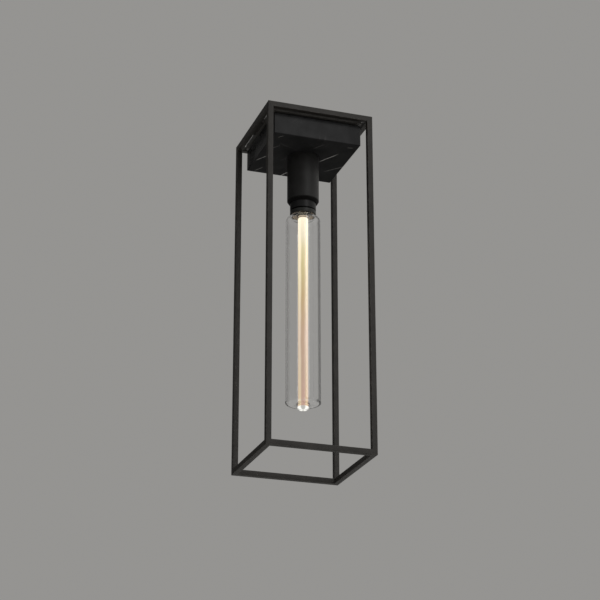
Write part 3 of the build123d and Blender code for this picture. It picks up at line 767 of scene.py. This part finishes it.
def tubeMesh():
    wall, radius, neck = tube["wall"], tube["radius"], tube["neck"]
    ceiling = tube["top"] - wall
    floor = tube["foot"] + tube["sole"]
    corners = [
        (neck, tube["neckTop"], tube["neckEdge"]),
        (neck, tube["top"], tube["fillet"]),
        (radius, tube["top"], tube["shoulder"]),
        (radius, tube["foot"], tube["footEdge"]),
        (tube["hole"], tube["foot"], tube["holeEdge"]),
        (tube["hole"], floor, tube["holeEdge"]),
        (radius - wall, floor, tube["innerEdge"]),
        (radius - wall, ceiling, tube["shoulder"] - wall),
        (neck - wall, ceiling, tube["fillet"] + wall),
        (neck - wall, tube["neckTop"], tube["neckEdge"]),
    ]
    return lathe("glassTube", corners, segments=192, steps=14)


place("glassTube", tubeMesh(), "clear_glass", "lamp", "glass_tube")

# Light guide: flanged neck in the holder, plain rod, chamfered tip, sizes in mm
guide = {"radius": 7.2, "neck": 6.6, "top": -119.6, "flange": 8.4, "flangeTop": -122.9, "flangeFoot": -124.4,
         "groove": (-137.4, -138.2, 0.4), "neckFoot": -139.1, "shoulder": -140.1, "end": -422.0, "head": 8.2,
         "headTop": -422.8, "headFoot": -424.2, "tip": 5.8, "foot": -426.4, "edge": 0.2, "neckFillet": 0.3,
         "shoulderEdge": 0.6, "headEdges": (0.3, 0.4), "tipEdge": 0.5}


def guideMesh():
    neck, radius, edge = guide["neck"], guide["radius"], guide["edge"]
    high, low, depth = guide["groove"]
    headTop, headFoot = guide["headEdges"]
    corners = [
        (0, guide["top"], 0),
        (neck, guide["top"], edge),
        (neck, guide["flangeTop"], 0),
        (guide["flange"], guide["flangeTop"], edge),
        (guide["flange"], guide["flangeFoot"], edge),
        (neck, guide["flangeFoot"], 0),
        (neck, high, 0),
        (neck - depth, high, 0),
        (neck - depth, low, 0),
        (neck, low, 0),
        (neck, guide["neckFoot"], guide["neckFillet"]),
        (radius, guide["shoulder"], guide["shoulderEdge"]),
        (radius, guide["end"], edge),
        (guide["head"], guide["headTop"], headTop),
        (guide["head"], guide["headFoot"], headFoot),
        (guide["tip"], guide["foot"], guide["tipEdge"]),
        (0, guide["foot"], 0),
    ]
    return lathe("lightGuide", corners, segments=96, steps=4)


place("lightGuide", guideMesh(), "lit_guide", "lamp", "light_guide")

# Grommet that centres the rod in the glass foot, sizes in mm
grommet = {"bore": 7.3, "waist": 8.1, "lip": 9.0, "top": -416.3, "upper": -416.9, "lower": -418.1,
           "foot": -418.7, "edge": 0.2, "lipEdge": 0.4}


def grommetMesh():
    lip, waist, bore, edge = grommet["lip"], grommet["waist"], grommet["bore"], grommet["edge"]
    corners = [
        (bore, grommet["top"], edge),
        (lip, grommet["top"], grommet["lipEdge"]),
        (lip, grommet["upper"], edge),
        (waist, grommet["upper"], 0),
        (waist, grommet["lower"], 0),
        (lip, grommet["lower"], edge),
        (lip, grommet["foot"], grommet["lipEdge"]),
        (bore, grommet["foot"], edge),
    ]
    return lathe("tipGrommet", corners, segments=96, steps=3)


place("tipGrommet", grommetMesh(), "clear_silicone", "lamp", "tip_grommet")
print("lamp: collar, glass, guide, grommet")


# Node tree helpers for geometry
def startTree(name, inputs):
    tree = bpy.data.node_groups.new(name, "GeometryNodeTree")
    for label, kind in inputs.items():
        tree.interface.new_socket(label, in_out="INPUT", socket_type="NodeSocket" + kind)
    tree.interface.new_socket("Geometry", in_out="OUTPUT", socket_type="NodeSocketGeometry")
    return tree, addNode(tree, "NodeGroupInput").outputs


def endTree(tree, shape, finish):
    whole = addNode(tree, "GeometryNodeRealizeInstances", {"Geometry": shape}).outputs[0]
    painted = addNode(tree, "GeometryNodeSetMaterial", {"Geometry": whole, "Material": finish}).outputs[0]
    addNode(tree, "NodeGroupOutput", {"Geometry": painted})


def setPositions(tree, shape, target):
    return addNode(tree, "GeometryNodeSetPosition", {"Geometry": shape, "Position": target}).outputs[0]


def useTree(maker, tree, values):
    modifier = maker.modifiers.new(tree.name, "NODES")
    modifier.node_group = tree
    for item in tree.interface.items_tree:
        if item.in_out == "INPUT" and item.name in values:
            modifier[item.identifier] = values[item.name]


# Lamp cap: rolled screw thread from a node tree, closed by its roof
cap = {
    "thread": {"Root": 12.25 * mm, "Ridge": 0.9 * mm, "Pitch": 3.63 * mm, "Low": -110.1 * mm,
               "High": -88.9 * mm, "Thread Start": -107.6 * mm, "Thread End": -91.6 * mm},
    "fade": (-0.25, 0.25),  # in turns of the thread
    "around": 97, "along": 121, "roofSides": 96, "weld": 0.01 * mm, "wall": 0.85 * mm,
    "roof": 0.8, "roofEdge": 0.3,  # in mm
}


def threadTree(finish):
    tree, given = startTree("rolledThread", dict.fromkeys(cap["thread"], "Float"))
    wires = {"Size X": 1.0, "Size Y": 1.0, "Vertices X": cap["around"], "Vertices Y": cap["along"]}
    grid = addNode(tree, "GeometryNodeMeshGrid", wires).outputs["Mesh"]
    spot = axes(tree, addNode(tree, "GeometryNodeInputPosition").outputs[0])
    turn = sums(tree, "MULTIPLY", sums(tree, "ADD", spot["X"], 0.5), 2 * math.pi)
    rise = sums(tree, "ADD", spot["Y"], 0.5)
    height = sums(tree, "SUBTRACT", given["High"], given["Low"])
    level = sums(tree, "MULTIPLY_ADD", rise, height, given["Low"])
    fromFoot = sums(tree, "DIVIDE", sums(tree, "SUBTRACT", level, given["Thread Start"]), given["Pitch"])
    fromHead = sums(tree, "DIVIDE", sums(tree, "SUBTRACT", given["Thread End"], level), given["Pitch"])
    phase = sums(tree, "MULTIPLY_ADD", fromFoot, 2 * math.pi, sums(tree, "MULTIPLY", turn, -1.0))
    wave = sums(tree, "MULTIPLY_ADD", sums(tree, "COSINE", phase), 0.5, 0.5)
    fade = span(tree, sums(tree, "MINIMUM", fromFoot, fromHead), cap["fade"], (0.0, 1.0), True)
    raised = sums(tree, "MULTIPLY", wave, fade)
    radius = sums(tree, "MULTIPLY_ADD", raised, given["Ridge"], given["Root"])
    across = sums(tree, "MULTIPLY", radius, sums(tree, "COSINE", turn))
    along = sums(tree, "MULTIPLY", radius, sums(tree, "SINE", turn))
    rolled = setPositions(tree, grid, point(tree, across, along, level))
    wires = {"Geometry": rolled, "Distance": cap["weld"]}
    closed = addNode(tree, "GeometryNodeMergeByDistance", wires).outputs[0]
    shaded = addNode(tree, "GeometryNodeSetShadeSmooth", {"Geometry": closed}).outputs[0]
    endTree(tree, shaded, finish)
    return tree


def capMesh():
    maker = addObject("capMaker", bpy.data.meshes.new("capBlank"))
    useTree(maker, threadTree(finishes["nickel_cap"]), cap["thread"])
    wall = maker.modifiers.new("wall", "SOLIDIFY")
    wall.thickness = cap["wall"]
    wall.offset = -1.0
    shell = bake(maker)
    root, high = cap["thread"]["Root"] / mm, cap["thread"]["High"] / mm
    low = high - cap["roof"]
    corners = [(0, high, 0), (root, high, cap["roofEdge"]), (root, low, 0), (0, low, 0)]
    build = bmesh.new()
    build.from_mesh(shell)
    build.from_mesh(lathe("capRoof", corners, cap["roofSides"]))
    mesh = meshFrom("lampCap", build)
    smooth(mesh)
    return mesh


place("lampCap", capMesh(), "nickel_cap", "lamp", "lamp_cap")
print("lamp cap: rolled thread")

# Screws: one node tree turns the head, cuts the drive and the thread, and sets a copy at each place
up, down, left, right = (0, 0, 1), (0, 0, -1), (-1, 0, 0), (1, 0, 0)
screwSets = {  # each place is the middle of the head's face and the way it faces, sizes in mm
    "centreBolt": {
        "node": "centre_bolt", "places": [((0, 0, 0), up)],
        "Head Radius": 6.0, "Head Height": 2.5, "Shank Radius": 3.0, "Length": 53.2, "Pitch": 1.0,
        "Drive Sides": 6, "Drive Length": 5.0, "Drive Width": 5.0, "Drive Depth": 1.6,
    },
    "clampGrubs": {
        "node": "terminal_screws",
        "places": [((-10.5, 10.5, -18), down), ((10.5, 10.5, -18), down), ((-10.5, 18.5, -18), down),
                   ((0, 18.5, -18), down), ((10.5, 18.5, -18), down)],
        "Head Radius": 1.4, "Head Height": 0.8, "Shank Radius": 1.38, "Length": 5.3, "Pitch": 0.6,
        "Drive Sides": 4, "Drive Length": 4.0, "Drive Width": 0.5, "Drive Depth": 0.6,
    },
    "earthScrew": {
        "node": "earth_screw", "places": [((0, 10.5, -18), down)],
        "Head Radius": 2.7, "Head Height": 1.8, "Shank Radius": 1.5, "Length": 16.5, "Pitch": 0.6,
        "Drive Sides": 4, "Drive Length": 7.0, "Drive Width": 0.8, "Drive Depth": 0.9,
    },
    "wireScrews": {
        "node": "clamp_screws", "places": [((-15.6, 0, -62.1), left), ((15.6, 0, -62.1), right)],
        "Head Radius": 2.0, "Head Height": 1.6, "Shank Radius": 1.25, "Length": 3.9, "Pitch": 0.6,
        "Drive Sides": 4, "Drive Length": 6.0, "Drive Width": 0.6, "Drive Depth": 0.8,
    },
    "socketScrews": {
        "node": "socket_screws", "places": [((0, -8.7, -78.4), down), ((0, 8.7, -78.4), down)],
        "Head Radius": 2.6, "Head Height": 2.0, "Shank Radius": 1.5, "Length": 19.8, "Pitch": 0.6,
        "Drive Sides": 4, "Drive Length": 7.0, "Drive Width": 0.8, "Drive Depth": 1.0,
    },
}
screwMake = {"headSides": 48, "shankSides": 24, "stepsPerTurn": 8, "threadDepth": 0.45, "headChamfer": 0.18,
             "sharp": 50}  # the thread's depth is a share of its pitch, the chamfer of the head's height


def screwTree(finish):
    sizes = [label for label in screwSets["centreBolt"] if label[0].isupper()]
    inputs = {"Places": "Geometry"} | dict.fromkeys(sizes, "Float") | {"Drive Sides": "Int"}
    tree, given = startTree("drivenScrew", inputs)
    parts = axes(tree, addNode(tree, "GeometryNodeInputPosition").outputs[0])

    def moved(shape, **change):
        wires = {"Geometry": shape} | {label.capitalize(): value for label, value in change.items()}
        return addNode(tree, "GeometryNodeTransform", wires).outputs[0]

    def cylinder(sides, rings, radius, depth):
        wires = {"Vertices": sides, "Side Segments": rings, "Radius": radius, "Depth": depth}
        return addNode(tree, "GeometryNodeMeshCylinder", wires).outputs["Mesh"]

    def reshaped(shape, share, level):  # pulled in towards the axis by a share, and set to a level
        across = sums(tree, "MULTIPLY", parts["X"], share)
        along = sums(tree, "MULTIPLY", parts["Y"], share)
        return setPositions(tree, shape, point(tree, across, along, level))

    # Head, with its upper edge chamfered
    tall, wide = given["Head Height"], given["Head Radius"]
    head = cylinder(screwMake["headSides"], 2, wide, tall)
    half = sums(tree, "MULTIPLY", tall, 0.5)
    quarter = sums(tree, "MULTIPLY", tall, 0.25)
    chamfer = sums(tree, "MULTIPLY", tall, screwMake["headChamfer"])
    isTop = sums(tree, "GREATER_THAN", parts["Z"], quarter)
    isMiddle = sums(tree, "LESS_THAN", sums(tree, "ABSOLUTE", parts["Z"]), quarter)
    lift = sums(tree, "MULTIPLY", isMiddle, sums(tree, "SUBTRACT", half, chamfer))
    pulled = sums(tree, "MULTIPLY", isTop, sums(tree, "DIVIDE", chamfer, wide))
    head = reshaped(head, sums(tree, "SUBTRACT", 1.0, pulled), sums(tree, "ADD", parts["Z"], lift))
    sunk = sums(tree, "MULTIPLY", half, -1.0)
    head = moved(head, translation=point(tree, z=sunk))

    # Shank, with a thread cut into it
    length = sums(tree, "SUBTRACT", given["Length"], half)
    turns = sums(tree, "DIVIDE", length, given["Pitch"])
    rings = sums(tree, "MULTIPLY", turns, screwMake["stepsPerTurn"])
    slim = given["Shank Radius"]
    shank = cylinder(screwMake["shankSides"], rings, slim, length)
    climbed = sums(tree, "MULTIPLY", sums(tree, "DIVIDE", parts["Z"], given["Pitch"]), 2 * math.pi)
    phase = sums(tree, "SUBTRACT", climbed, sums(tree, "ARCTAN2", parts["Y"], parts["X"]))
    wave = sums(tree, "MULTIPLY_ADD", sums(tree, "COSINE", phase), -0.5, 0.5)
    depth = sums(tree, "MULTIPLY", given["Pitch"], screwMake["threadDepth"])
    cut = sums(tree, "DIVIDE", sums(tree, "MULTIPLY", wave, depth), slim)
    shank = reshaped(shank, sums(tree, "SUBTRACT", 1.0, cut), parts["Z"])
    shank = moved(shank, translation=point(tree, z=sums(tree, "MULTIPLY_ADD", length, -0.5, sunk)))
    whole = addNode(tree, "GeometryNodeMeshBoolean", {"Mesh 2": head}, operation="UNION", solver="EXACT")
    feed(whole, "Mesh 2", shank)

    # Drive: a slot from four sides drawn long, a hexagon from six
    turn = sums(tree, "DIVIDE", math.pi, given["Drive Sides"])
    halfWide = sums(tree, "MULTIPLY", given["Drive Width"], 0.5)
    reach = sums(tree, "DIVIDE", halfWide, sums(tree, "COSINE", turn))
    twice = sums(tree, "MULTIPLY", given["Drive Depth"], 2.0)
    drive = cylinder(given["Drive Sides"], 1, reach, twice)
    drive = moved(drive, rotation=point(tree, z=turn))
    longer = sums(tree, "DIVIDE", given["Drive Length"], given["Drive Width"])
    drive = moved(drive, scale=point(tree, longer, 1.0, 1.0))
    wires = {"Mesh 1": whole.outputs["Mesh"], "Mesh 2": drive}
    screw = addNode(tree, "GeometryNodeMeshBoolean", wires, operation="DIFFERENCE", solver="EXACT")

    facing = addNode(tree, "GeometryNodeInputNamedAttribute", {"Name": "facing"}, data_type="FLOAT_VECTOR")
    wires = {"Vector": facing.outputs[0]}
    aim = addNode(tree, "FunctionNodeAlignRotationToVector", wires, axis="Z").outputs[0]
    wires = {"Points": given["Places"], "Instance": screw.outputs["Mesh"], "Rotation": aim}
    endTree(tree, addNode(tree, "GeometryNodeInstanceOnPoints", wires).outputs[0], finish)
    return tree


def screwMesh(name, sizes, tree):
    seats = bpy.data.meshes.new(name + "Seats")
    seats.from_pydata([Vector(spot) * mm for spot, way in sizes["places"]], [], [])
    facing = seats.attributes.new("facing", "FLOAT_VECTOR", "POINT")
    facing.data.foreach_set("vector", [float(part) for spot, way in sizes["places"] for part in way])
    maker = addObject(name + "Maker", seats)
    lengths = {label: size * mm for label, size in sizes.items() if label[0].isupper()}
    useTree(maker, tree, lengths | {"Drive Sides": sizes["Drive Sides"]})
    mesh = bake(maker)
    smooth(mesh, screwMake["sharp"])
    return mesh


drivenScrew = screwTree(finishes["zinc_steel"])
for name, sizes in screwSets.items():
    place(name, screwMesh(name, sizes, drivenScrew), "zinc_steel", "fixture", sizes["node"])
print("screws:", sum(len(sizes["places"]) for sizes in screwSets.values()))

# CAD pieces that stay: each takes its slot's finish, and the plate a lighter paint that is painted light on
# its edge under the ring
for row in frame["record"]["subparts"]:
    cadNodes[row["node"]].material_slots[0].material = finishes[row["material_slot"]]
litPlatePaint = paintedFinish("litPlatePaint", *paints["litPlatePaint"])
cadNodes["backing_plate"].material_slots[0].material = litPlatePaint
print("finishes on the CAD pieces")

# Stage: pale floor far below, one soft box in front, even grey surroundings that are brighter on one side
stage = {
    "floorLevel": -2.2,
    "floorRadius": 14.0,
    "floorTone": (0.45, 0.445, 0.435),
    "floorShade": 0.985,
    "floorScale": 3.0,
    "floorRoughness": 0.85,
    "floorShine": 0.2,
    "floorSides": 96,
    "backdrop": (0.3, 0.295, 0.285),  # what the camera, gloss and glass see
    "fill": (0.86, 0.855, 0.84),  # what lights the object
    "brightSide": (0.946, -0.324, 0.0),
    "sideReach": (-0.9, 0.9),
    "sides": (0.05, 1.95),
    "dusk": (0.803, 0.4635, 0.374),  # a darker part of the room, seen only through the glass
    "duskReach": (0.84, 0.94),
    "duskLevel": 0.25,
}
frontBox = {"place": (0.55, -2.5, 0.85), "width": 1.0, "height": 1.8, "watts": 10.0}
camera = {"place": (-0.75052, -2.18256, -1.18904), "aim": (0.3002, 0.878328, 0.372049), "lens": 106.09,
          "sensor": 36, "clipEnd": 100}


def floorPiece():
    build = bmesh.new()
    bmesh.ops.create_circle(build, cap_ends=True, segments=stage["floorSides"], radius=stage["floorRadius"])
    mesh = meshFrom("floor", build)
    mesh.transform(Matrix.Translation((0, 0, stage["floorLevel"])))
    values = {"Roughness": stage["floorRoughness"], "Specular IOR Level": stage["floorShine"]}
    material, tree, surface, coords = startFinish("paleFloor", values)
    light = stage["floorTone"]
    dark = [channel * stage["floorShade"] for channel in light]
    patches = noise(tree, coords, stage["floorScale"], detail=3.0)
    feed(surface, "Base Color", twoTone(tree, patches, midNoise, dark, light))
    mesh.materials.append(material)
    addObject("floor", mesh)


def surroundings():
    world = bpy.data.worlds.new("studio")
    world.use_nodes = True
    tree = world.node_tree
    rays = addNode(tree, "ShaderNodeLightPath").outputs
    even = sums(tree, "MAXIMUM", rays["Is Camera Ray"], rays["Is Transmission Ray"])  # sees no bright side
    seen = sums(tree, "MAXIMUM", even, rays["Is Glossy Ray"])
    heading = addNode(tree, "ShaderNodeTexCoord").outputs["Generated"]
    turn = vectors(tree, "DOT_PRODUCT", heading, stage["brightSide"])
    tilt = sums(tree, "SUBTRACT", span(tree, turn, stage["sideReach"], stage["sides"]), 1.0)
    level = sums(tree, "MULTIPLY_ADD", tilt, sums(tree, "SUBTRACT", 1.0, even), 1.0)
    nearDusk = vectors(tree, "DOT_PRODUCT", heading, stage["dusk"])
    shade = span(tree, nearDusk, stage["duskReach"], (0.0, stage["duskLevel"] - 1.0), True)
    level = sums(tree, "MULTIPLY_ADD", shade, rays["Is Transmission Ray"], level)
    feed(tree.nodes["Background"], "Color", blendColours(tree, seen, stage["fill"], stage["backdrop"]))
    feed(tree.nodes["Background"], "Strength", level)
    scene.world = world


def softBox():
    light = bpy.data.lights.new("frontBox", "AREA")
    light.shape = "RECTANGLE"
    light.size, light.size_y = frontBox["width"], frontBox["height"]
    light.energy = frontBox["watts"]
    box = addObject("frontBox", light)
    box.location = frontBox["place"]
    aim = (cadBox[0] + cadBox[1]) / 2 - Vector(frontBox["place"])
    box.rotation_euler = aim.to_track_quat("-Z", "Y").to_euler()


def studioCamera():
    data = bpy.data.cameras.new("camera")
    data.lens = camera["lens"]
    data.sensor_width = camera["sensor"]
    data.clip_end = camera["clipEnd"]
    view = addObject("camera", data)
    view.location = camera["place"]
    view.rotation_euler = Vector(camera["aim"]).to_track_quat("-Z", "Y").to_euler()
    scene.camera = view


floorPiece()
surroundings()
softBox()
studioCamera()
scene.view_settings.view_transform = "Standard"
print("stage: floor, world, soft box, camera")
